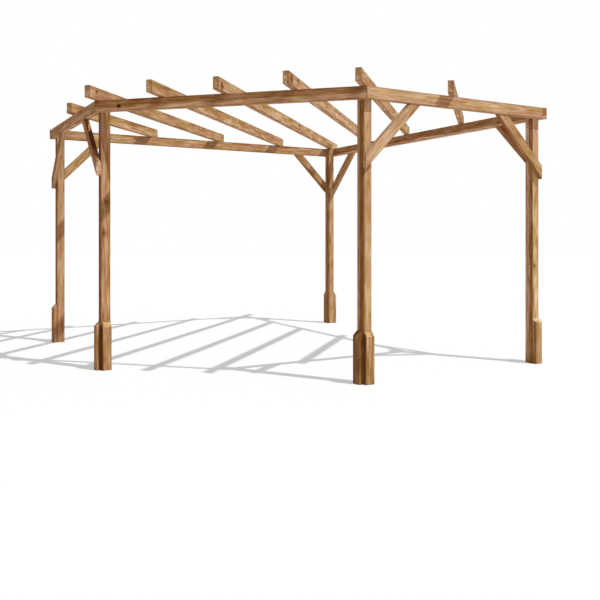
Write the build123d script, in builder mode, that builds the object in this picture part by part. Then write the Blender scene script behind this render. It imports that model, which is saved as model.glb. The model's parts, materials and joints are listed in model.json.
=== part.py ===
"""Five-sided corner pergola in softwood: a square plan with its front corner cut off.

Frame: +Z up from the ground, +X to the right along the open front, +Y from the front
towards the rear corner, origin under the middle of the whole part. Millimetres.

Every stick is cut from a few sections: square posts, beams and rafters on edge, and thin
boards for braces and foot blocks. The beams, braces and blocks all lie against the outer
faces of the posts, so one ring of beams wraps round the five posts. Seven rafters lie on
the ring, parallel to the line from the front to the rear corner.
"""
from build123d import *
from math import pi, sqrt, tan
import os

# ---------------------------------------------------------------- driving dimensions (mm)
ring_outside = 3600.0        # the square plan over its outer beam faces, before the cut
cut_leg = 1590.0             # how far the cut corner reaches along each side, post to post
post_side = 80.0
headroom = 2185.0            # ground to the underside of the beams

beam_depth = 97.0            # beams stand on edge
beam_thickness = 49.0

rafter_depth = 100.0
rafter_thickness = 48.0
rafter_drift = (33.0, -21.0, 7.0, 0.0, 20.0, 4.0, -13.0)       # each one's place off its mark
front_overhangs = (73.0, 148.0, 209.0, 174.0, 222.0, 180.0, 145.0)    # past the ring's outside
rear_overhangs = (92.0, 102.0, 84.0, 250.0, 85.0, 72.0, 178.0)         # along the rafter

brace_thickness = 40.0
brace_width = 83.0
brace_reach = 536.0          # down the post and along the beam, to the brace's outer edge
block_thickness = 40.0
block_height = 408.0

edge_ease = 3.0              # rounding of the long edges

# ---------------------------------------------------------------- plan layout
# The square plan lies turned by 45 degrees. On it, u runs along the rear-left side and v
# along the rear-right side, both from the centre of the rear post.
half_post = post_side / 2
ring_offset = half_post + beam_thickness           # post centre to the outer face of a beam
post_pitch = ring_outside - 2 * ring_offset        # between post centres on a rear side
side_pitch = post_pitch - cut_leg                  # between post centres on a short side

ring_corner = ring_offset * sqrt(2)                # post centre to a square corner of the ring
front_line = -(post_pitch + side_pitch) / sqrt(2)  # front posts, from the rear post along Y
front_half = cut_leg / sqrt(2)                     # front posts, to either side of the middle
side_middle = (post_pitch + cut_leg) / (2 * sqrt(2))         # halfway along a side beam

# Marks for the rafters: one in the middle, one over each front post and halfway to it, and
# one on the middle of each side beam.
rafter_marks = (-side_middle, -front_half, -front_half / 2, 0, front_half / 2, front_half, side_middle)

front_end = front_line - ring_offset - max(front_overhangs[1:-1])
rear_end = ring_corner + rear_overhangs[rafter_marks.index(0)]
rear_post_y = -(front_end + rear_end) / 2          # puts the origin under the middle

plan = Plane(origin=(0, rear_post_y, 0), x_dir=(1, 1, 0), z_dir=(0, 0, 1))
U = plan.x_dir
V = plan.y_dir

post_places = {
    "left": (-post_pitch, 0),
    "front_left": (-post_pitch, -side_pitch),
    "front_right": (-side_pitch, -post_pitch),
    "right": (0, -post_pitch),
    "rear": (0, 0),
}
housed_posts = ("front_left", "front_right")

# Post, name of the face, its outward direction, and the way its brace leans, if it has one.
post_faces = [
    ("left", "side", -U, -V),
    ("left", "rear", V, U),
    ("front_left", "side", -U, V),
    ("front_left", "entry", -V, None),
    ("front_right", "entry", -U, None),
    ("front_right", "side", -V, U),
    ("right", "side", -V, -U),
    ("right", "rear", U, V),
    ("rear", "left", V, -U),
    ("rear", "right", U, -V),
]


def save(piece, name):
    """Label a finished piece and write it as its own STEP file."""
    piece.label = name
    export_step(piece, f"parts/{name}.step")


def long_edges(builder):
    """The four longest edges of a stick, which run along its grain."""
    return builder.edges().sort_by(SortBy.LENGTH)[-4:]


def face_plane(post, outward):
    """The upright plane on one face of a post: x along the face, y up, z outwards."""
    u, v = post_places[post]
    centre = plan.from_local_coords(Vector(u, v, 0))
    return Plane(origin=centre + outward * half_post, x_dir=Vector(0, 0, 1).cross(outward), z_dir=outward)


# ---------------------------------------------------------------- posts
def make_post(post):
    """A full-height square post. The front corner posts are housed for the front beam."""
    with BuildPart() as stick:
        with BuildSketch(plan):
            with Locations(post_places[post]):
                Rectangle(post_side, post_side)
        extrude(amount=headroom + beam_depth)
        fillet(stick.edges().filter_by(Axis.Z), edge_ease)
        if post in housed_posts:
            # The front beam crosses the corner of the post, so a flat is cut behind it.
            u, v = post_places[post]
            x = plan.from_local_coords(Vector(u, v, 0)).X
            beam_back = rear_post_y + front_line - half_post
            with BuildSketch(Plane.XY.offset(headroom)):
                with Locations((x, beam_back)):
                    Rectangle(post_side, half_post, align=(Align.CENTER, Align.MAX))
            extrude(amount=beam_depth, mode=Mode.SUBTRACT)
    save(stick.part, f"post_{post}")


# ---------------------------------------------------------------- ring of beams
# Plan lines of the beams' faces. The plan is the same to the left and to the right, with u
# and v changing places. The 135 degree front corners are mitred along their bisectors.
side_in = -(post_pitch + half_post)
side_out = -(post_pitch + ring_offset)
rear_in = half_post
rear_out = ring_offset
mitre_in = -(side_pitch + half_post * tan(pi / 8))
mitre_out = -(side_pitch + ring_offset * tan(pi / 8))

# The rear beams run through at the square corners, and the side beams stop against them.
beam_outlines = {
    "front": ((side_in, mitre_in), (side_out, mitre_out), (mitre_out, side_out), (mitre_in, side_in)),
    "left_side": ((side_in, mitre_in), (side_out, mitre_out), (side_out, rear_in), (side_in, rear_in)),
    "right_side": ((mitre_in, side_in), (mitre_out, side_out), (rear_in, side_out), (rear_in, side_in)),
    "rear_left": ((side_out, rear_in), (side_out, rear_out), (rear_out, rear_out), (rear_out, rear_in)),
    "rear_right": ((rear_in, side_out), (rear_out, side_out), (rear_out, rear_in), (rear_in, rear_in)),
}


def make_beam(side, outline):
    """A beam on edge, drawn in plan with its mitred or square ends."""
    with BuildPart() as stick:
        with BuildSketch(plan.offset(headroom)):
            with BuildLine():
                Polyline(*outline, close=True)
            make_face()
        extrude(amount=beam_depth)
        fillet(long_edges(stick), edge_ease)
    save(stick.part, f"beam_{side}")


# ---------------------------------------------------------------- rafters
def make_rafter(index):
    """A square-cut rafter on edge, lying on the ring and running past it at both ends."""
    x = rafter_marks[index] + rafter_drift[index]
    side_beam_y = abs(x) - sqrt(2) * (post_pitch + ring_offset)
    ring_front = max(front_line - ring_offset, side_beam_y)
    ring_rear = ring_corner - abs(x)
    front = rear_post_y + ring_front - front_overhangs[index]
    rear = rear_post_y + ring_rear + rear_overhangs[index]
    with BuildPart() as stick:
        with BuildSketch(Plane.XZ.offset(-rear)):
            with Locations((x, headroom + beam_depth)):
                Rectangle(rafter_thickness, rafter_depth, align=(Align.CENTER, Align.MIN))
        extrude(amount=rear - front)
        fillet(long_edges(stick), edge_ease)
    save(stick.part, f"rafter_{index + 1}")


# ---------------------------------------------------------------- braces and foot blocks
def make_brace(post, face, outward, lean):
    """A 45 degree brace: plumb cut at the post's far edge, level cut under the beam."""
    plane = face_plane(post, outward)
    way = 1 if plane.x_dir.dot(lean) > 0 else -1
    cut = brace_width * sqrt(2)
    start = -way * half_post
    foot = headroom - brace_reach
    with BuildPart() as stick:
        with BuildSketch(plane):
            with BuildLine():
                Polyline(
                    (start, foot),
                    (start, foot + cut),
                    (start + way * (brace_reach - cut), headroom),
                    (start + way * brace_reach, headroom),
                    close=True,
                )
            make_face()
        extrude(amount=brace_thickness)
        fillet(long_edges(stick), edge_ease)
    save(stick.part, f"brace_{post}_{face}")


def make_block(post, face, outward):
    """A foot block as wide as the post, its top bevelled at 45 degrees to shed rain."""
    front = face_plane(post, outward)
    side = Plane(origin=front.origin, x_dir=outward, z_dir=-front.x_dir)
    with BuildPart() as stick:
        with BuildSketch(side):
            with BuildLine():
                Polyline(
                    (0, 0),
                    (block_thickness, 0),
                    (block_thickness, block_height - block_thickness),
                    (0, block_height),
                    close=True,
                )
            make_face()
        extrude(amount=half_post, both=True)
        fillet(stick.edges().filter_by(Axis.Z), edge_ease)
    save(stick.part, f"foot_block_{post}_{face}")


# ---------------------------------------------------------------- build
os.makedirs("parts", exist_ok=True)
for post in post_places:
    make_post(post)
for side, outline in beam_outlines.items():
    make_beam(side, outline)
for index in range(len(rafter_marks)):
    make_rafter(index)
for post, face, outward, lean in post_faces:
    make_block(post, face, outward)
    if lean is not None:
        make_brace(post, face, outward, lean)
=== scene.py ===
# %% [markdown]
# # A five-sided corner pergola in brown-stained softwood
# The pergola is a square garden frame with its front corner cut off: five posts, a ring
# of five beams, seven rafters, eight braces and ten foot blocks. Those sticks are already
# modelled as solids.

# %% Load the frame
import json
import math
from collections import namedtuple

import bpy
from mathutils import Matrix, Vector

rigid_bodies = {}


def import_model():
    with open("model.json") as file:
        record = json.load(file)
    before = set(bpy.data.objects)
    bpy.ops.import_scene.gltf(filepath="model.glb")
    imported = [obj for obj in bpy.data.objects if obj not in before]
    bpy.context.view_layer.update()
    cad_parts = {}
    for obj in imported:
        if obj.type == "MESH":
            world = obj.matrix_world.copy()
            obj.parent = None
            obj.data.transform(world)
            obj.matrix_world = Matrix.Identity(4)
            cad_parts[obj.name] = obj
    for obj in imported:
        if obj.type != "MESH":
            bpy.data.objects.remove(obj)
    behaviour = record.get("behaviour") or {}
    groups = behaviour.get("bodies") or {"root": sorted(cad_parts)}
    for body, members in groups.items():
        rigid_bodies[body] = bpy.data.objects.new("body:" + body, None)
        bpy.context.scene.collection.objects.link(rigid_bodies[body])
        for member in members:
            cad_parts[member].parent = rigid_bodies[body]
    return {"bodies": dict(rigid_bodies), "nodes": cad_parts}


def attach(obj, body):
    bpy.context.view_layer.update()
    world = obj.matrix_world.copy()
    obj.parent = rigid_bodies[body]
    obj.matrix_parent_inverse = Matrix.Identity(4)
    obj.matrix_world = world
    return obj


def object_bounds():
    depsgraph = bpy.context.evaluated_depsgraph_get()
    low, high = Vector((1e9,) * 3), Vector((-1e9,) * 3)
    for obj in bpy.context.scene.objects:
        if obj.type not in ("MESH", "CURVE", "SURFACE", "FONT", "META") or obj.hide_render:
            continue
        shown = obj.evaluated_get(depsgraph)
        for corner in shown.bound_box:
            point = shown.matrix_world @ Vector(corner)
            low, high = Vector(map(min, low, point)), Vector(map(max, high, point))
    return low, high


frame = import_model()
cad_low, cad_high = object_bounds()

sticks = frame["nodes"]
carrier = next(iter(frame["bodies"]))
print(len(sticks), "sticks on body", carrier, "from", tuple(cad_low), "to", tuple(cad_high))

# %% [markdown]
# ## The viewpoint
# The camera stands a little to the right of the entrance, at chest height, and looks
# level into the pergola. A level camera keeps the posts upright. The frame is then
# brought into view by shifting the lens, as an architect's camera does, and not by
# tilting it, which would make the posts lean.

# %% Camera
camera_data = bpy.data.cameras.new("viewpoint")
camera_data.sensor_width = 36
camera_data.lens = 43.21
camera_data.shift_y = -0.10645
camera = bpy.data.objects.new("viewpoint", camera_data)
camera.location = (2.1048, -7.3967, 1.1365)
camera.rotation_euler = (math.radians(90), 0, math.radians(15.2))
bpy.context.scene.collection.objects.link(camera)
bpy.context.scene.camera = camera
bpy.context.scene.view_settings.view_transform = "Standard"
print("camera", round((camera.location - (cad_low + cad_high) / 2).length, 2), "m from the middle")

# %% [markdown]
# ## Two small helpers
# Colours are written as sRGB hex, because that is how paint and stain are picked, and
# one function turns them linear for Blender's sockets. A second function adds one node,
# sets it, links it and hands back its output, so that a material reads as a list of
# steps. A socket is named, or numbered where a node has several of one name.


# %% Helpers
def linear(code):
    """An sRGB hex colour as the linear colour that sockets take."""
    shares = [int(code[place:place + 2], 16) / 255 for place in (1, 3, 5)]
    return tuple(c / 12.92 if c <= 0.04045 else ((c + 0.055) / 1.055) ** 2.4 for c in shares) + (1.0,)


def add(tree, kind, inputs=None, **settings):
    """Add one node: settings are its properties, inputs are values or outputs to link."""
    node = tree.nodes.new(kind)
    for key, value in settings.items():
        setattr(node, key, value)
    for key, value in (inputs or {}).items():
        if isinstance(key, int):
            socket = node.inputs[key]
        else:
            socket = next(s for s in node.inputs if s.enabled and s.name == key)
        if isinstance(value, bpy.types.NodeSocket):
            tree.links.new(value, socket)
        else:
            socket.default_value = value
    return next((s for s in node.outputs if s.enabled), None)


print("mid brown is", [round(c, 3) for c in linear("#be986e")])

# %% [markdown]
# ## Studio: surroundings, sun and floor
# The pergola stands on a plain pale floor in open light: one sun from the right, high
# and slightly in front, and a soft surround. The surround is brighter on the sun's side,
# as a real sky is, and warm away from it, because sunlit timber and ground warm the shade.
# It is only as strong as the timber needs. The white that the eye sees comes from Light
# Path, not from more light, so no face is washed out. The floor glows for the eye in the
# same way, faintly cool against the warm surround, which keeps its shadows pale and grey.
# It has two colours too: the eye sees a neutral grey, lit up to white by sun and glow,
# while the light that it throws back up on the timber comes from a warmer, paler one.


# %% Surroundings
def seen_directly(tree):
    """1 on rays from the camera, also by way of gloss or glass, and 0 on all others."""
    ray = add(tree, "ShaderNodeLightPath").node.outputs
    seen = add(tree, "ShaderNodeMath", {0: ray["Is Camera Ray"], 1: ray["Is Glossy Ray"]},
               operation="MAXIMUM")
    return add(tree, "ShaderNodeMath", {0: seen, 1: ray["Is Transmission Ray"]}, operation="MAXIMUM")


shade_away, shade_near_sun = "#ffdabf", "#ffeadb"
shade_level = 0.43
share_away, share_near_sun = 0.35, 1.5
world = bpy.data.worlds.new("pale_surround")
bpy.context.scene.world = world
world.use_nodes = True
sky = world.node_tree
sky.nodes.clear()
way = add(sky, "ShaderNodeTexCoord")
way = add(sky, "ShaderNodeVectorMath", {0: way, 1: (1, 0, 0)}, operation="DOT_PRODUCT")
way = add(sky, "ShaderNodeMapRange", {"Value": way.node.outputs["Value"], "From Min": -1.0})
tint = add(sky, "ShaderNodeMix", {"Factor": way, "A": linear(shade_away), "B": linear(shade_near_sun)},
           data_type="RGBA")
level = add(sky, "ShaderNodeMapRange", {"Value": way, "To Min": shade_level * share_away,
            "To Max": shade_level * share_near_sun})
soft = add(sky, "ShaderNodeVectorMath", {0: tint, "Scale": level}, operation="SCALE")
tone = add(sky, "ShaderNodeMix", {"Factor": seen_directly(sky), "A": soft, "B": linear("#ffffff")},
           data_type="RGBA")
glow = add(sky, "ShaderNodeBackground", {"Color": tone})
add(sky, "ShaderNodeOutputWorld", {"Surface": glow})
print("surround lights at", shade_level, "from", shade_away, "to", shade_near_sun, "and shows white")

# %% Sun
sun_height, sun_bearing = math.radians(59.4), math.radians(-14)
to_sun = Vector((
    math.cos(sun_bearing) * math.cos(sun_height),
    math.sin(sun_bearing) * math.cos(sun_height),
    math.sin(sun_height),
))
sun_data = bpy.data.lights.new("sun", "SUN")
sun_data.energy = 3.8
sun_data.angle = math.radians(0.9)
sun = bpy.data.objects.new("sun", sun_data)
sun.rotation_euler = to_sun.to_track_quat("Z", "Y").to_euler()
bpy.context.scene.collection.objects.link(sun)
print("sun stands", round(math.degrees(sun_height)), "degrees high")

# %% Floor
floor_reach = 40
floor_glow = 0.46
floor_for_the_eye, floor_for_the_timber = "#afafaf", "#e2d1cd"
floor_mesh = bpy.data.meshes.new("floor")
corners = [(x * floor_reach, y * floor_reach, cad_low.z) for x, y in ((-1, -1), (1, -1), (1, 1), (-1, 1))]
floor_mesh.from_pydata(corners, [], [(0, 1, 2, 3)])
floor = bpy.data.objects.new("floor", floor_mesh)
bpy.context.scene.collection.objects.link(floor)
pale_floor = bpy.data.materials.new("pale_studio_floor")
pale_floor.use_nodes = True
ground = pale_floor.node_tree
ground.nodes.clear()
seen = seen_directly(ground)
shine = add(ground, "ShaderNodeMath", {0: seen, 1: floor_glow}, operation="MULTIPLY")
glow = add(ground, "ShaderNodeEmission", {"Color": linear("#eef7fc"), "Strength": shine})
pale = add(ground, "ShaderNodeMix", {"Factor": seen, "A": linear(floor_for_the_timber),
           "B": linear(floor_for_the_eye)}, data_type="RGBA")
matt = add(ground, "ShaderNodeBsdfDiffuse", {"Color": pale})
both = add(ground, "ShaderNodeAddShader", {0: glow, 1: matt})
add(ground, "ShaderNodeOutputMaterial", {"Surface": both})
floor_mesh.materials.append(pale_floor)
print("floor lies at", round(cad_low.z, 4))

# %% [markdown]
# ## Where each stick lies
# Wood grain runs along the stick, so a timber material needs to know the stick's own
# directions. Posts and blocks stand, the front beam lies across, the rafters run from
# front to back, and the other beams and the braces follow the two diagonals of the plan.
# For each stick we note the way it runs and the way it is called wide: upwards on beams
# and rafters, which stand on edge, up its own slope on a brace, and one diagonal on posts
# and blocks. Then we measure its mesh in those directions. The result is a small cradle
# for every stick: its centre, its directions and its half sizes. A Mapping node can then
# lay the grain.

# %% Directions of the plan
diagonal = math.sqrt(0.5)
right_diagonal = Vector((diagonal, diagonal, 0))
left_diagonal = Vector((-diagonal, diagonal, 0))
across, back, up = Vector((1, 0, 0)), Vector((0, 1, 0)), Vector((0, 0, 1))


def named(prefix):
    """The names of the sticks that start with this word, in order."""
    return sorted(name for name in sticks if name.startswith(prefix))


# The way along each stick, and the way in which it is called wide.
runs = {}
for name in named("post_") + named("foot_block_"):
    runs[name] = (up, right_diagonal)
for name in named("rafter_"):
    runs[name] = (back, up)
runs["beam_front"] = (across, up)
for name in ("beam_right_side", "beam_rear_left"):
    runs[name] = (right_diagonal, up)
for name in ("beam_left_side", "beam_rear_right"):
    runs[name] = (left_diagonal, up)

# A brace climbs from its post towards the middle of its beam.
leans = {
    "left_side": -left_diagonal, "left_rear": right_diagonal, "front_left_side": left_diagonal,
    "front_right_side": right_diagonal, "right_side": -right_diagonal, "right_rear": left_diagonal,
    "rear_left": -right_diagonal, "rear_right": -left_diagonal,
}
for place, lean in leans.items():
    runs["brace_" + place] = ((lean + up).normalized(), (up - lean).normalized())
print(len(runs), "of", len(sticks), "sticks have a direction")

# %% Cradles
# The centre, a matrix whose columns are the ways along, over and wide, and the three half
# sizes in those ways, all in metres.
Cradle = namedtuple("Cradle", "middle ways half")


def cradle(name):
    """Measure one stick's mesh in its own directions."""
    along, wide = runs[name]
    ways = Matrix((along, wide.cross(along), wide)).transposed()
    lows, highs = [], []
    for way in ways.col:
        spread = [way.dot(vertex.co) for vertex in sticks[name].data.vertices]
        lows.append(min(spread))
        highs.append(max(spread))
    middle = ways @ Vector([(low + high) / 2 for low, high in zip(lows, highs)])
    return Cradle(middle, ways, [(high - low) / 2 for low, high in zip(lows, highs)])


cradles = {name: cradle(name) for name in sticks}
longest = max(cradles, key=lambda name: cradles[name].half[0])
print("longest stick:", longest, round(2 * cradles[longest].half[0], 3), "m")

# %% [markdown]
# ## Brown-stained softwood
# The sticks are planed spruce or pine, pressure-treated and tinted brown. The eye gets
# long streaks from growth rings cut lengthways, dark red-brown heartwood on one side,
# paler sapwood on the other, rosy and olive patches where the treatment took
# differently, small brown knots, one long painted shadow on a brace, and eased edges
# painted darker, partly as stain and partly as shade.
#
# A picture texture would repeat on every stick and would not turn the corner from face
# to end. So each stick is cut in thought from a log of its own. Every point of the stick
# knows how far it lies from the log's pith, and rings, heartwood and knots follow from
# that, so they meet along each edge and show as arcs on the sawn ends.
#
# All patterns below are in millimetres. Rings are 5.5 mm wide, as in fast-grown spruce,
# and fibres are drawn about 2 mm wide, coarser than real, so that they show at all.

# %% Tones of the stain
olive_brown = "#ae9870"
golden = "#bfa77e"
tan = "#c0a989"
rosy_tan = "#c2aa93"
orange_brown = "#b99567"
olive_band = "#fafcf1"
rosy_band = "#fff9fd"
# Brown of the arrises: stain drunk by the cut fibres, and painted shade of the rounded edge.
edge_stain_and_shade = "#5b452d"
# Brown of the knots, and of one brace's painted shadow streak.
knot_and_shadow_brown = "#3a1606"
print("tones:", olive_brown, golden, tan, rosy_tan, orange_brown)

# %% [markdown]
# ## A log for every stick
# Each line below is one log: where its pith runs past the middle of the stick, how wide
# and how dark its heartwood is, how often it has a knot, how many coats of stain the
# stick took up, and whether its tone leans to olive or to orange. The sticks that show
# most are written out. The rafters and the rest come from two simple rules that keep
# them all different.

# %% Logs
# The pith (over, wide) from the stick's centre in mm, the heartwood's radius in mm and its
# extra coats, which on three front foot blocks are painted shade in the notch between the
# blocks, the share of places with a knot, the coats on the whole stick, and the lean of its
# tone: below zero to olive, above zero to orange.
Log = namedtuple("Log", "pith heart heart_coats knots coats lean")
logs = {
    "post_left": Log((0, -56), 44, 0.8, 0.2, 1.19, 0.04),
    "post_front_left": Log((-8, -58), 42, 1.0, 0.0, 1.25, 0.0),
    "post_front_right": Log((24, -54), 34, 0.95, 0.1, 1.09, 0.01),
    "post_right": Log((28, -50), 24, 0.8, 0.2, 0.75, -0.03),
    "post_rear": Log((24, -46), 32, 0.6, 0.2, 1.15, 0.0),
    "beam_front": Log((0, 62), 72, 0.7, 0.0, 1.03, 0.05),
    "beam_left_side": Log((8, 60), 60, 0.3, 0.1, 1.08, 0.04),
    "beam_right_side": Log((60, 10), 40, 0.3, 0.0, 1.13, 0.03),
    "beam_rear_left": Log((0, 70), 40, 0.4, 0.2, 1.2, 0.04),
    "beam_rear_right": Log((10, 60), 86, 0.85, 0.1, 0.61, 0.05),
    "brace_front_right_side": Log((20, -60), 30, 0.3, 0.1, 1.04, 0.05),
    "brace_right_side": Log((-16, -56), 40, 0.4, 0.1, 1.22, 0.0),
    "brace_left_side": Log((-34, 0), 32, 1.0, 0.1, 0.92, 0.0),
    "brace_front_left_side": Log((-16, -30), 20, 0.4, 0.1, 1.45, 0.05),
    "brace_right_rear": Log((-16, -50), 30, 0.5, 0.1, 1.5, 0.05),
    "brace_rear_left": Log((26, -50), 26, 0.3, 0.1, 1.4, 0.0),
    "brace_left_rear": Log((13, -50), 30, 0.3, 0.1, 1.25, -0.05),
    # The heartwood of this block lies on its face in the notch between the post's two blocks: painted
    # shade there.
    "foot_block_front_right_side": Log((0, -60), 24, 1.0, 0.1, 1.36, -0.05),
    "foot_block_front_right_entry": Log((-44, 0), 24, 1.2, 0.1, 1.75, 0.04),
    # On both front-left blocks the heartwood lies in the notch between them: painted shade there.
    "foot_block_front_left_entry": Log((0, -56), 29, 1.9, 0.1, 1.34, 0.0),
    "foot_block_front_left_side": Log((52, 16), 22, 1.5, 0.1, 1.1, 0.10),
}
# The rafters' piths lie just outside one face or the other, at three heights in turn.
rafter_coats = (1.10, 1.30, 1.06, 1.09, 0.98, 1.15, 1.15)
rafter_pith_over, rafter_pith_heights = 30, (34, 43, 52)
for number, coats in enumerate(rafter_coats, start=1):
    side = 1 if number % 2 == 0 else -1
    pith = (side * rafter_pith_over, rafter_pith_heights[number % 3])
    logs[f"rafter_{number}"] = Log(pith, heart=44, heart_coats=0.3, knots=0.4, coats=coats,
                                   lean=0.01 * (number % 3))
# The other sticks' piths lie a few millimetres past the side that their width points
# away from.
usual_coats = 1.05
for number, name in enumerate(sorted(set(sticks) - set(logs))):
    half_over, half_wide = (1000 * length for length in cradles[name].half[1:])
    if name.startswith("foot_block_"):
        pith = (0.8 * half_over, -half_wide - 5)
        logs[name] = Log(pith, heart=20 + 3 * (number % 3), heart_coats=0.5, knots=0.1,
                         coats=usual_coats, lean=0.0)
    else:
        pith = (26 - 13 * (number % 4), -half_wide - 8)
        logs[name] = Log(pith, heart=26 + 6 * (number % 3), heart_coats=0.3, knots=0.1,
                         coats=usual_coats, lean=0.01 * (number % 4))
print("a log for each of", len(logs), "sticks")

# %% [markdown]
# ## The grain, step by step
# Each of the next functions is one step of the material. It takes the node tree, adds
# its nodes and returns what the next step needs. First the point is laid in the stick's
# own directions. Then it is swayed, because no log is quite straight.
#
# Every uneven pattern is a noise, stretched along the grain to cells of a given length
# and width. The noise has a fourth dimension, and each pattern takes a slice of its own
# there for each stick. The slices are numbered from the stick's place in the list of
# names, so nothing repeats from stick to stick and every run gives the same timber.

# %% Lay and sway the grain
# How far apart the sticks' slices of a pattern lie, and where the first one lies.
slices = {
    "sway": (2.11, 0.0), "heart": (1.9, 4.0), "streak": (1.37, 5.0), "patch": (2.3, 1.0),
    "fibre": (0.7, 0.0), "cloud": (3.7, 0.0), "band": (4.3, 0.0),
}
sway_width = 32


def slice_of(pattern, seed):
    """Where one stick's slice of a pattern lies in the noise."""
    apart, start = slices[pattern]
    return seed * apart + start


def cells(along, across):
    """The scale that stretches a pattern to cells of this length and width in mm."""
    return (1 / along, 1 / across, 1 / across)


def lay_grain(tree, name, seed):
    """The point in the stick's directions (along, over, wide) in mm, straight and swayed."""
    turn = cradles[name].ways.to_euler()
    here = add(tree, "ShaderNodeTexCoord").node.outputs["Object"]
    laid = add(tree, "ShaderNodeMapping", {"Vector": here, "Location": cradles[name].middle,
               "Rotation": turn}, vector_type="TEXTURE")
    laid = add(tree, "ShaderNodeVectorMath", {0: laid, "Scale": 1000.0}, operation="SCALE")
    waves = add(tree, "ShaderNodeVectorMath", {0: laid, 1: cells(700, 140)}, operation="MULTIPLY")
    wave = add(tree, "ShaderNodeTexNoise", {"Vector": waves, "W": slice_of("sway", seed), "Scale": 1.0,
               "Detail": 2.0}, noise_dimensions="4D").node.outputs["Color"]
    sway = add(tree, "ShaderNodeVectorMath", {0: wave, 1: (-0.5, -0.5, -0.5)}, operation="ADD")
    swayed = add(tree, "ShaderNodeVectorMath", {0: sway, 1: (0, sway_width, sway_width), 2: laid},
                 operation="MULTIPLY_ADD")
    return laid, swayed


print("grain is laid in", len(cradles), "cradles")

# %% [markdown]
# Knots are where branches left the trunk. A Voronoi texture scatters points through the
# log, one to a cell 170 mm long and 100 mm wide, and only some of the cells get a knot.
# Each stick looks at another place of that texture. The distance to the point gives the
# brown knot itself and a wider halo in which the rings bend round it. A few large knots
# and one long dark streak of painted shadow on a brace sit in known places, so they are written down.

# %% Knots
# Place (along, over, wide) from the stick's centre, half length and radius, in mm.
large_knots_and_shadow = {
    "post_front_left": [(286, 40, 0, 20, 16), (20, 40, -10, 20, 15)],
    "beam_front": [(-939, -24, -3, 18, 14)],
    "rafter_2": [(-1410, -24, 16, 16, 13)],
    "rafter_4": [(-2105, -24, -14, 30, 32)],
    "rafter_5": [(-1755, -24, 4, 30, 36)],
    "beam_right_side": [(-560, 24, 16, 16, 13)],
    # The long patch on brace_front_left_side is painted shadow along the middle of its upper face.
    "brace_front_left_side": [(25, -8, 46, 150, 30)],
}
# The extra coats of stain in a knot, and how much its own brown hides them: little on
# live knots, nearly all on the black one of the front beam.
usual_knot = (1.2, 0.4)
knot_and_shadow_depths = {
    "post_front_left": (0.45, 0.08), "beam_front": (1.2, 0.9), "beam_right_side": (0.8, 0.1),
    "rafter_2": (0.9, 0.2), "rafter_4": (1.2, 0.15), "rafter_5": (1.2, 0.15),
    # brace_front_left_side: the coats and brown of its painted shadow streak.
    "brace_front_left_side": (1.0, 0.3),
}
# Distances from a knot's centre, as shares of a Voronoi cell: where the knot and its halo
# begin and where they are full, the edge of a large knot, and a place out of all reach.
knot_rim, knot_core = 0.13, 0.06
halo_rim, halo_core = 0.34, 0.08
large_knot_edge = 0.1
out_of_reach = 9.0


def grow_knots(tree, name, seed, swayed):
    """How much a point belongs to a knot, the painted shadow streak of one brace included, and to the
    halo round it.
    """
    elsewhere = (seed * 3.1, seed * 1.7, seed * 0.9)
    spread = add(tree, "ShaderNodeVectorMath", {0: swayed, 1: cells(170, 100), 2: elsewhere},
                 operation="MULTIPLY_ADD")
    found = add(tree, "ShaderNodeTexVoronoi", {"Vector": spread, "Scale": 1.0}).node.outputs
    pick = add(tree, "ShaderNodeSeparateColor", {"Color": found["Color"]})
    none = add(tree, "ShaderNodeMath", {0: pick, 1: logs[name].knots}, operation="GREATER_THAN")
    away = add(tree, "ShaderNodeMath", {0: none, 1: out_of_reach, 2: found["Distance"]},
               operation="MULTIPLY_ADD")
    for along, over, wide, half_length, radius in large_knots_and_shadow.get(name, []):
        squeeze = (large_knot_edge / half_length, large_knot_edge / radius, large_knot_edge / radius)
        offset = add(tree, "ShaderNodeVectorMath", {0: swayed, 1: (along, over, wide)},
                     operation="SUBTRACT")
        offset = add(tree, "ShaderNodeVectorMath", {0: offset, 1: squeeze}, operation="MULTIPLY")
        near = add(tree, "ShaderNodeVectorMath", {0: offset}, operation="LENGTH").node.outputs["Value"]
        away = add(tree, "ShaderNodeMath", {0: away, 1: near}, operation="MINIMUM")
    knot_and_shadow_streak = add(tree, "ShaderNodeMapRange", {"Value": away, "From Min": knot_rim, "From Max": knot_core},
               interpolation_type="SMOOTHSTEP")
    halo = add(tree, "ShaderNodeMapRange", {"Value": away, "From Min": halo_rim, "From Max": halo_core},
               interpolation_type="SMOOTHSTEP")
    return knot_and_shadow_streak, halo


print("large knots on", ", ".join(large_knots_and_shadow))

# %% [markdown]
# A ring is a year: pale early wood that ends in a thin dark line of late wood. Distance
# from the pith divided by the ring's width counts the years. The fraction of that count
# tells where in the year the point is, so a smooth rise and a quick fall draw the late
# wood. Round a knot the distance grows, which bends the rings. Inside a given radius,
# made uneven by a noise, the log is heartwood.

# %% Rings and heartwood
# In mm, but for the shares of a year at which late wood begins, is darkest and ends.
ring_width = 5.5
late_begins, late_darkest, late_ends = 0.42, 0.90, 0.95
bend_round_knot = 8.0
heart_unevenness = 20.0
heart_rim, heart_core = 16, 6


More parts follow.
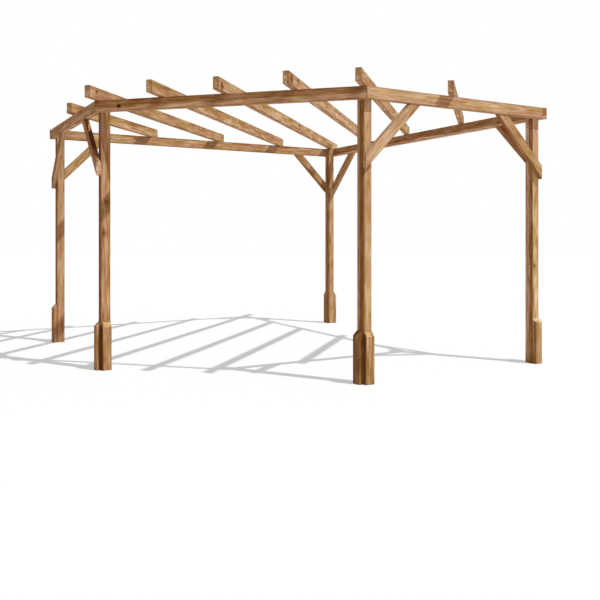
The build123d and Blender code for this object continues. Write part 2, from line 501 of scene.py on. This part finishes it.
def grow_rings(tree, name, seed, swayed, halo):
    """How much a point is late wood, and how many extra coats its heartwood takes, which on three foot
    blocks is painted shade.
    """
    log = logs[name]
    from_pith = add(tree, "ShaderNodeVectorMath", {0: swayed, 1: (0, *log.pith)}, operation="SUBTRACT")
    from_pith = add(tree, "ShaderNodeVectorMath", {0: from_pith, 1: (0, 1, 1)}, operation="MULTIPLY")
    radius = add(tree, "ShaderNodeVectorMath", {0: from_pith}, operation="LENGTH").node.outputs["Value"]
    radius = add(tree, "ShaderNodeMath", {0: halo, 1: bend_round_knot, 2: radius},
                 operation="MULTIPLY_ADD")
    year = add(tree, "ShaderNodeMath", {0: radius, 1: ring_width}, operation="DIVIDE")
    phase = add(tree, "ShaderNodeMath", {0: year}, operation="FRACT")
    rise = add(tree, "ShaderNodeMapRange", {"Value": phase, "From Min": late_begins,
               "From Max": late_darkest}, interpolation_type="SMOOTHSTEP")
    fall = add(tree, "ShaderNodeMapRange", {"Value": phase, "From Min": 1.0, "From Max": late_ends},
               interpolation_type="SMOOTHSTEP")
    late = add(tree, "ShaderNodeMath", {0: rise, 1: fall}, operation="MULTIPLY")
    uneven = add(tree, "ShaderNodeVectorMath", {0: swayed, 1: cells(260, 60)}, operation="MULTIPLY")
    uneven = add(tree, "ShaderNodeTexNoise", {"Vector": uneven, "W": slice_of("heart", seed),
                 "Scale": 1.0, "Detail": 2.0}, noise_dimensions="4D")
    uneven = add(tree, "ShaderNodeMath", {0: uneven, 1: heart_unevenness, 2: radius},
                 operation="MULTIPLY_ADD")
    inside = add(tree, "ShaderNodeMapRange", {"Value": uneven, "From Min": log.heart + heart_rim,
                 "From Max": log.heart + heart_core, "To Max": log.heart_coats},
                 interpolation_type="SMOOTHSTEP")
    return late, inside


print("rings are", ring_width, "mm wide")

# %% [markdown]
# The stain's tone is uneven. One noise, stretched far along the grain, gives streaks;
# one with shorter cells gives patches; together they pick a tone from olive brown to
# orange brown. The streaks' other two channels lay long rosy and olive bands over it.

# %% Stain
# Sticks from slow-grown, even timber, and how strong their bands are next to the others'.
even_sticks = {
    "beam_right_side": 0.45, "post_front_right": 0.7, "brace_front_right_side": 0.7, "post_left": 0.7,
}
# Where the mean of streak and patch, which stays near a half, picks each tone.
tone_places = {0.36: olive_brown, 0.44: golden, 0.51: tan, 0.58: rosy_tan, 0.66: orange_brown}
# The channel's values between which a rosy or an olive band sets in.
band_begins, band_full = 0.50, 0.60


def stain(tree, name, seed, swayed):
    """The colour of the wood under one coat of stain."""
    streaks = add(tree, "ShaderNodeVectorMath", {0: swayed, 1: cells(900, 26)}, operation="MULTIPLY")
    streak = add(tree, "ShaderNodeTexNoise", {"Vector": streaks, "W": slice_of("streak", seed),
                 "Scale": 1.0, "Detail": 2.0}, noise_dimensions="4D").node.outputs
    patches = add(tree, "ShaderNodeVectorMath", {0: swayed, 1: cells(110, 34)}, operation="MULTIPLY")
    patch = add(tree, "ShaderNodeTexNoise", {"Vector": patches, "W": slice_of("patch", seed),
                "Scale": 1.0, "Detail": 2.0}, noise_dimensions="4D")
    taken = add(tree, "ShaderNodeMath", {0: streak[0], 1: patch}, operation="ADD")
    taken = add(tree, "ShaderNodeMath", {0: taken, 1: 0.5, 2: logs[name].lean}, operation="MULTIPLY_ADD")
    ramp = tree.nodes.new("ShaderNodeValToRGB")
    tree.links.new(taken, ramp.inputs[0])
    stops = ramp.color_ramp.elements
    (first, first_tone), *between, (last, last_tone) = tone_places.items()
    stops[0].position, stops[0].color = first, linear(first_tone)
    stops[1].position, stops[1].color = last, linear(last_tone)
    for place, tone in between:
        stops.new(place).color = linear(tone)
    colour = ramp.outputs[0]
    channels = add(tree, "ShaderNodeSeparateColor", {"Color": streak[1]}).node.outputs
    for channel, tone in ((channels[0], rosy_band), (channels[1], olive_band)):
        share = add(tree, "ShaderNodeMapRange", {"Value": channel, "From Min": band_begins,
                    "From Max": band_full, "To Max": even_sticks.get(name, 1.0)},
                    interpolation_type="SMOOTHSTEP")
        colour = add(tree, "ShaderNodeMix", {"Factor": share, "A": colour, "B": linear(tone)},
                     data_type="RGBA", blend_type="MULTIPLY")
    return colour


print("stain runs from", olive_brown, "to", orange_brown)

# %% [markdown]
# The stain is see-through, so a second coat multiplies the colour by itself once more: the
# wood turns darker and richer, not greyer. So its depth is counted in coats and used as a
# power. Most ends and bevels were sawn late, so they took up less than one coat, but a few
# soaked it up, and one block's bevel is darker as painted shade. A brace's ends are cut at
# 45 degrees, so there the way along and the way up its width add up to the same sum all
# over the cut.

# %% Cut ends
# The top of a block that its bevel takes up, and the last of any other stick, in mm.
bevel_length, cut_length = 41, 2
# Extra coats on a bevel, on other cut ends, and on the few that differ.
bevel_coats, end_coats = -0.3, -0.1
cut_coats = {
    # The bevel of foot_block_front_right_entry is darker as painted shade, where its post shades it.
    "foot_block_front_right_entry": 0.3, "beam_rear_right": 0.4, "beam_rear_left": 0.6,
    "brace_front_left_side": -0.65,
}


def find_cut(tree, name, laid):
    """The extra coats on the sawn ends, or on a block's bevel."""
    half_long, _, half_wide = (1000 * length for length in cradles[name].half)
    along, _, wide = add(tree, "ShaderNodeSeparateXYZ", {0: laid}).node.outputs
    if name.startswith("foot_block_"):
        to_end, start, usual = along, half_long - bevel_length, bevel_coats
    else:
        to_end = add(tree, "ShaderNodeMath", {0: along}, operation="ABSOLUTE")
        start, usual = half_long - cut_length, end_coats
    if name.startswith("brace_"):
        to_end = add(tree, "ShaderNodeMath", {0: to_end, 1: wide}, operation="ADD")
        start = half_long - half_wide - cut_length
    return add(tree, "ShaderNodeMapRange", {"Value": to_end, "From Min": start, "From Max": start + 1,
               "To Max": cut_coats.get(name, usual)})


print("a bevel took up", bevel_coats, "coats, and another cut end", end_coats)

# %% [markdown]
# Now the coats are added up. Heartwood, late wood, a knot with its halo and open fibres
# drink more than the rest, and bands along the grain and slow clouds over the stick make
# it more or less.

# %% Coats of stain
# Extra coats in late wood and in a knot's halo.
late_coats, halo_coats = 0.42, 0.30
# Extra coats from the low end to the high end of each noise, which hardly ever leaves the
# range between the two.
fibre_coats, cloud_coats, band_coats = (0.26, -0.20), (0.30, -0.20), (-0.36, 0.62)
noise_low, noise_high = 0.3, 0.7


def count_coats(tree, name, seed, laid, swayed, late, inside, knot_and_shadow_streak, halo):
    """How many coats of stain a point took up, and the fibres."""
    fibres = add(tree, "ShaderNodeVectorMath", {0: laid, 1: cells(90, 2)}, operation="MULTIPLY")
    fibre = add(tree, "ShaderNodeTexNoise", {"Vector": fibres, "W": slice_of("fibre", seed),
                "Scale": 1.0, "Detail": 4.0, "Roughness": 0.65}, noise_dimensions="4D")
    clouds = add(tree, "ShaderNodeVectorMath", {0: laid, 1: cells(280, 100)}, operation="MULTIPLY")
    cloud = add(tree, "ShaderNodeTexNoise", {"Vector": clouds, "W": slice_of("cloud", seed),
                "Scale": 1.0, "Detail": 3.0}, noise_dimensions="4D")
    bands = add(tree, "ShaderNodeVectorMath", {0: swayed, 1: cells(170, 17)}, operation="MULTIPLY")
    band = add(tree, "ShaderNodeTexNoise", {"Vector": bands, "W": slice_of("band", seed),
               "Scale": 1.0, "Detail": 2.0}, noise_dimensions="4D")
    knot_coats = knot_and_shadow_depths.get(name, usual_knot)[0]
    coats = logs[name].coats
    for share, extra in ((inside, 1.0), (late, late_coats), (knot_and_shadow_streak, knot_coats), (halo, halo_coats)):
        coats = add(tree, "ShaderNodeMath", {0: share, 1: extra, 2: coats}, operation="MULTIPLY_ADD")
    for noise, (low_end, high_end), strength in (
        (fibre, fibre_coats, 1.0),
        (cloud, cloud_coats, 1.0),
        (band, band_coats, even_sticks.get(name, 1.0)),
    ):
        extra = add(tree, "ShaderNodeMapRange", {"Value": noise, "From Min": noise_low,
                    "From Max": noise_high, "To Min": low_end, "To Max": high_end})
        coats = add(tree, "ShaderNodeMath", {0: extra, 1: strength, 2: coats}, operation="MULTIPLY_ADD")
    coats = add(tree, "ShaderNodeMath", {0: find_cut(tree, name, laid), 1: coats}, operation="ADD")
    return coats, fibre


print("post_rear took up", logs["post_rear"].coats, "coats")

# %% [markdown]
# The eased edges are painted darker, so a thin brown line runs along each arris: partly
# stain that their cut fibres drink, and partly painted shade of the rounded arris. A point
# on a face has one depth of nearly zero; the middle one of its three depths below the
# stick's faces is then its distance to the nearest edge.

# %% Edges
# In mm from the edge, where the brown begins and where it is full, and how full.
edge_begins, edge_full, edge_share = 9.0, 2.0, 0.45


def find_edges(tree, name, laid):
    """How much a point belongs to a darker edge, of stain and painted shade."""
    half = [1000 * length for length in cradles[name].half]
    size = add(tree, "ShaderNodeVectorMath", {0: laid}, operation="ABSOLUTE")
    depth = add(tree, "ShaderNodeVectorMath", {0: half, 1: size}, operation="SUBTRACT")
    ends, sides, faces = add(tree, "ShaderNodeSeparateXYZ", {0: depth}).node.outputs
    least = add(tree, "ShaderNodeMath", {0: sides, 1: faces}, operation="MINIMUM")
    most = add(tree, "ShaderNodeMath", {0: sides, 1: faces}, operation="MAXIMUM")
    to_edge = add(tree, "ShaderNodeMath", {0: most, 1: ends}, operation="MINIMUM")
    to_edge = add(tree, "ShaderNodeMath", {0: to_edge, 1: least}, operation="MAXIMUM")
    return add(tree, "ShaderNodeMapRange", {"Value": to_edge, "From Min": edge_begins,
               "From Max": edge_full, "To Max": edge_share}, interpolation_type="SMOOTHSTEP")


print("edges are darker for", edge_begins, "mm")

# %% [markdown]
# Last comes the surface. Planed softwood with a water-based stain is matt. Late wood is
# harder, stands a little proud after planing and is slightly smoother, and fibres give a
# faint relief. The knot's brown goes on top of everything else.

# %% Stained softwood
# How proud late wood stands next to the fibres, the height of both in metres, and how
# rough early and late wood are.
late_relief, relief_height = 0.6, 0.0006
early_roughness, late_roughness = 0.80, 0.68


def stained_softwood(name, seed):
    """Planed, brown-stained softwood with its grain laid along one stick."""
    timber = bpy.data.materials.new("stained_softwood_" + name)
    timber.use_nodes = True
    tree = timber.node_tree
    tree.nodes.clear()
    laid, swayed = lay_grain(tree, name, seed)
    knot_and_shadow_streak, halo = grow_knots(tree, name, seed, swayed)
    late, inside = grow_rings(tree, name, seed, swayed, halo)
    coats, fibre = count_coats(tree, name, seed, laid, swayed, late, inside, knot_and_shadow_streak, halo)
    colour = add(tree, "ShaderNodeGamma", {"Color": stain(tree, name, seed, swayed), "Gamma": coats})
    edge = find_edges(tree, name, laid)
    # Each arris is darkened: stain, and painted shade along the edge.
    colour = add(tree, "ShaderNodeMix", {"Factor": edge, "A": colour, "B": linear(edge_stain_and_shade)},
                 data_type="RGBA")
    # The knots' brown, and on brace_front_left_side the brown of its painted shadow streak.
    own_brown = knot_and_shadow_depths.get(name, usual_knot)[1]
    knot_and_shadow_streak = add(tree, "ShaderNodeMath", {0: knot_and_shadow_streak, 1: own_brown}, operation="MULTIPLY")
    colour = add(tree, "ShaderNodeMix", {"Factor": knot_and_shadow_streak, "A": colour, "B": linear(knot_and_shadow_brown)},
                 data_type="RGBA")
    height = add(tree, "ShaderNodeMath", {0: late, 1: late_relief, 2: fibre}, operation="MULTIPLY_ADD")
    relief = add(tree, "ShaderNodeBump", {"Height": height, "Strength": 0.35,
                 "Distance": relief_height})
    matt = add(tree, "ShaderNodeMapRange", {"Value": late, "To Min": early_roughness,
               "To Max": late_roughness})
    surface = add(tree, "ShaderNodeBsdfPrincipled", {"Base Color": colour, "Roughness": matt,
                  "Normal": relief, "IOR": 1.5, "Specular IOR Level": 0.06})
    add(tree, "ShaderNodeOutputMaterial", {"Surface": surface})
    return timber


for seed, name in enumerate(sorted(sticks)):
    timber = stained_softwood(name, seed)
    for slot in sticks[name].material_slots:
        slot.material = timber
print("timber on", len(sticks), "sticks")

# %% [markdown]
# ## Where the screws go
# Two go through each end of a brace, four through a foot block, two through a beam into
# every post it passes, and one from each side through a rafter into the beam below. The
# places follow from the cradles: a joint is where two sticks cross, and a small zigzag
# keeps two screws out of the same fibres, so that the timber doesn't split.

# %% Screw places
# Millimetres along and wide, from the stick's middle or from the joint.
block_zigzag = ((-130, -18), (-50, 18), (30, -18), (110, 18))
brace_pairs = ((-300, 12), (-255, -12), (280, 14), (290, -14))
joint_pair = ((-18, 24), (18, -24))
rafter_screw_height = -22
# Metres: how close two faces lie that touch, and how much wood a screw keeps past it.
touching_gap = 0.002
post_joint_margin, rafter_joint_margin = 0.03, 0.04
# Each screw's place, and the way its head looks.
screw_places = []


def place_screw(name, along, wide, face):
    """Note a screw on one of a stick's two broad faces: face is 1 or -1."""
    middle, ways, half = cradles[name]
    along_way, over_way, wide_way = ways.col
    outwards = over_way * face
    on_the_middle = middle + along_way * along / 1000 + wide_way * wide / 1000
    screw_places.append((on_the_middle + outwards * half[1], outwards))


def outer_face(name):
    """The face, 1 or -1, that looks away from the pergola's middle."""
    middle, ways, _ = cradles[name]
    over_way = ways.col[1]
    return math.copysign(1, over_way.x * middle.x + over_way.y * middle.y)


print("outer face of the front beam:", outer_face("beam_front"))

# %% [markdown]
# A beam lies against its posts. A post belongs to it if the two touch and the post stands
# between the beam's ends, and the two screws go in where it stands.

# %% Screws in the beams
for name in named("beam_"):
    middle, ways, half = cradles[name]
    for post in named("post_"):
        offset = cradles[post].middle - middle
        past = offset.dot(ways.col[0])
        reach = half[1] + cradles[post].half[1] + touching_gap
        if abs(offset.dot(ways.col[1])) < reach and abs(past) < half[0] - post_joint_margin:
            for along, wide in joint_pair:
                place_screw(name, 1000 * past + along, wide, outer_face(name))
print(len(screw_places), "screws in the beams")

# %% [markdown]
# A brace has two screws at each end. A rafter is screwed to each beam that it crosses, at
# a slant from both sides, low on its face. The beam runs askew under the rafter, so the
# crossing is found by following the beam until it is as far to the right as the rafter.

# %% Screws in the braces and rafters
for name in named("brace_"):
    for along, wide in brace_pairs:
        place_screw(name, along, wide, outer_face(name))
for name in named("rafter_"):
    middle, ways, _ = cradles[name]
    for beam in named("beam_"):
        beam_middle, beam_ways, beam_half = cradles[beam]
        beam_way = beam_ways.col[0]
        crossing = (middle.x - beam_middle.x) / beam_way.x
        if abs(crossing) < beam_half[0] - rafter_joint_margin:
            past = beam_middle.y + crossing * beam_way.y - middle.y
            for face in (-1, 1):
                place_screw(name, 1000 * past * ways.col[0].y, rafter_screw_height, face)
print(len(screw_places), "screws so far, on beams, braces and rafters")

# %% [markdown]
# A foot block looks outwards from its own post, in one of the four directions of the plan.
# Its cradle can't tell which, so the way runs from the post's centre to the block's.

# %% Screws in the foot blocks
for name in named("foot_block_"):
    middle, ways, half = cradles[name]
    post = min(named("post_"), key=lambda post: (cradles[post].middle - middle).xy.length)
    outwards = middle - cradles[post].middle
    outwards.z = 0
    outwards.normalize()
    beside = up.cross(outwards)
    thickness = abs(outwards.dot(ways.col[1])) * half[1] + abs(outwards.dot(ways.col[2])) * half[2]
    for along, wide in block_zigzag:
        on_the_middle = middle + up * along / 1000 + beside * wide / 1000
        screw_places.append((on_the_middle + outwards * thickness, outwards))
print(len(screw_places), "screws in all")

# %% [markdown]
# ## The screw, drawn once
# A countersunk wood screw for outdoors has a matt brown coating and a star recess. The
# driver rubs the coating in patches about a millimetre wide, so it is lighter and a
# little glossier there. Only the head shows, and that repeats more than a hundred times,
# so Geometry Nodes draw one head and put a copy on each place.

# %% Coated steel
coating, rubbed_coating = "#5e4430", "#8a6747"
coated_roughness, rubbed_roughness = 0.62, 0.42
patches_to_a_metre = 900.0
coated_steel = bpy.data.materials.new("brown_coated_screw_steel")
coated_steel.use_nodes = True
tree = coated_steel.node_tree
tree.nodes.clear()
here = add(tree, "ShaderNodeTexCoord").node.outputs["Object"]
worn = add(tree, "ShaderNodeTexNoise", {"Vector": here, "Scale": patches_to_a_metre, "Detail": 2.0})
tint = add(tree, "ShaderNodeMix", {"Factor": worn, "A": linear(coating), "B": linear(rubbed_coating)},
           data_type="RGBA")
gloss = add(tree, "ShaderNodeMapRange", {"Value": worn, "To Min": coated_roughness,
            "To Max": rubbed_roughness})
surface = add(tree, "ShaderNodeBsdfPrincipled", {"Base Color": tint, "Metallic": 0.35,
              "Roughness": gloss, "Specular IOR Level": 0.4})
add(tree, "ShaderNodeOutputMaterial", {"Surface": surface})
print("screw coating:", coated_steel.name)

# %% [markdown]
# The head starts as a small twelve-sided disc, pulled up and out into a cone. The cone's
# top face is pulled in twice: once flat, to leave the rim, and once down, to sink the
# recess. Pushing every second corner of the recess outwards gives a six-pointed star. A
# disc turned face down closes the cone's tip.

# %% Head of a screw
star_points = 6
# How far the star's points stand out, and the radii of the cone's tip and of the recess,
# as shares; in metres, how far apart two corners lie that are one.
star_depth = 0.2
tip_share, recess_share = 0.5, 0.5
same_corner = 0.00001
screws = bpy.data.node_groups.new("screw_heads", "GeometryNodeTree")
for label, sort in (
    ("Places", "Geometry"), ("Head Radius", "Float"), ("Cone Depth", "Float"), ("Proud", "Float"),
    ("Recess Depth", "Float"), ("Seed", "Int"), ("Coating", "Material"),
):
    screws.interface.new_socket(label, in_out="INPUT", socket_type="NodeSocket" + sort)
screws.interface.new_socket("Screws", in_out="OUTPUT", socket_type="NodeSocketGeometry")
given = screws.nodes.new("NodeGroupInput").outputs

tip = add(screws, "ShaderNodeMath", {0: given["Head Radius"], 1: tip_share}, operation="MULTIPLY")
disc = add(screws, "GeometryNodeMeshCircle", {"Vertices": 2 * star_points, "Radius": tip},
           fill_type="NGON")
sunk = add(screws, "ShaderNodeMath", {0: given["Cone Depth"], 1: -1.0}, operation="MULTIPLY")
sunk = add(screws, "ShaderNodeCombineXYZ", {"Z": sunk})
disc = add(screws, "GeometryNodeTransform", {"Geometry": disc, "Translation": sunk})
tall = add(screws, "ShaderNodeMath", {0: given["Cone Depth"], 1: given["Proud"]}, operation="ADD")
cone = add(screws, "GeometryNodeExtrudeMesh", {"Mesh": disc, "Offset Scale": tall}, mode="FACES")
cone = cone.node.outputs
head = add(screws, "GeometryNodeScaleElements", {"Geometry": cone["Mesh"], "Selection": cone["Top"],
           "Scale": 1 / tip_share})
rim = add(screws, "GeometryNodeExtrudeMesh", {"Mesh": head, "Selection": cone["Top"],
          "Offset Scale": 0.0}, mode="FACES").node.outputs
head = add(screws, "GeometryNodeScaleElements", {"Geometry": rim["Mesh"], "Selection": rim["Top"],
           "Scale": recess_share})

corner = add(screws, "GeometryNodeInputPosition")
apart = add(screws, "ShaderNodeSeparateXYZ", {0: corner}).node.outputs
turn = add(screws, "ShaderNodeMath", {0: apart["Y"], 1: apart["X"]}, operation="ARCTAN2")
turn = add(screws, "ShaderNodeMath", {0: turn, 1: star_points}, operation="MULTIPLY")
wave = add(screws, "ShaderNodeMath", {0: turn}, operation="COSINE")
wave = add(screws, "ShaderNodeMath", {0: wave, 1: star_depth, 2: 1.0}, operation="MULTIPLY_ADD")
wave = add(screws, "ShaderNodeCombineXYZ", {"X": wave, "Y": wave, "Z": 1.0})
star = add(screws, "ShaderNodeVectorMath", {0: corner, 1: wave}, operation="MULTIPLY")
head = add(screws, "GeometryNodeSetPosition", {"Geometry": head, "Selection": rim["Top"],
           "Position": star})
deep = add(screws, "ShaderNodeMath", {0: given["Recess Depth"], 1: -1.0}, operation="MULTIPLY")
recess = add(screws, "GeometryNodeExtrudeMesh", {"Mesh": head, "Selection": rim["Top"],
             "Offset Scale": deep}, mode="FACES")

bottom = add(screws, "GeometryNodeFlipFaces", {"Mesh": disc})
joined = screws.nodes.new("GeometryNodeJoinGeometry")
for shell in (recess, bottom):
    screws.links.new(shell, joined.inputs[0])
head = add(screws, "GeometryNodeMergeByDistance", {"Geometry": joined.outputs[0],
           "Distance": same_corner})
print("screw head has", len(screws.nodes), "nodes")

# %% [markdown]
# Every point carries the way its head looks. Each screw is also turned about its own
# axis by a random amount, as a driver leaves it, with a fixed seed. The instances are
# made real and the whole is turned into one plain mesh, with the coating as its only
# material, so that nothing live is left on the piece.

# %% Screws on their places
facing = add(screws, "GeometryNodeInputNamedAttribute", {"Name": "facing"}, data_type="FLOAT_VECTOR")
aimed = add(screws, "FunctionNodeAlignRotationToVector", {"Vector": facing}, axis="Z")
angle = add(screws, "FunctionNodeRandomValue", {"Max": math.tau, "Seed": given["Seed"]},
            data_type="FLOAT")
spin = add(screws, "ShaderNodeCombineXYZ", {"Z": angle})
aimed = add(screws, "FunctionNodeRotateRotation", {0: aimed, 1: spin}, rotation_space="LOCAL")
driven = add(screws, "GeometryNodeInstanceOnPoints", {"Points": given["Places"], "Instance": head,
             "Rotation": aimed})
driven = add(screws, "GeometryNodeRealizeInstances", {"Geometry": driven})
driven = add(screws, "GeometryNodeSetMaterial", {"Geometry": driven, "Material": given["Coating"]})
screws.links.new(driven, screws.nodes.new("NodeGroupOutput").inputs["Screws"])

place_mesh = bpy.data.meshes.new("screw_places")
place_mesh.from_pydata([place for place, outwards in screw_places], [], [])
looks = place_mesh.attributes.new("facing", "FLOAT_VECTOR", "POINT")
looks.data.foreach_set("vector", [share for place, outwards in screw_places for share in outwards])
guide = bpy.data.objects.new("screw_guide", place_mesh)
bpy.context.scene.collection.objects.link(guide)
driver = guide.modifiers.new("screw_heads", "NODES")
driver.node_group = screws
# Metres: a head 8 mm wide, with its rim 0.6 mm proud of the timber.
given_values = {
    "Head Radius": 0.004, "Cone Depth": 0.003, "Proud": 0.0006, "Recess Depth": 0.0005,
    "Seed": 7, "Coating": coated_steel,
}
for socket in screws.interface.items_tree:
    if socket.name in given_values:
        driver[socket.identifier] = given_values[socket.name]
evaluated = guide.evaluated_get(bpy.context.evaluated_depsgraph_get())
screw_mesh = bpy.data.meshes.new_from_object(evaluated)
screw_mesh.materials.clear()
screw_mesh.materials.append(coated_steel)
screw_mesh.polygons.foreach_set("material_index", [0] * len(screw_mesh.polygons))
screw_heads = bpy.data.objects.new("screw_heads", screw_mesh)
bpy.context.scene.collection.objects.link(screw_heads)
bpy.data.objects.remove(guide)
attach(screw_heads, carrier)
print(len(screw_places), "screws,", len(screw_mesh.polygons), "faces")
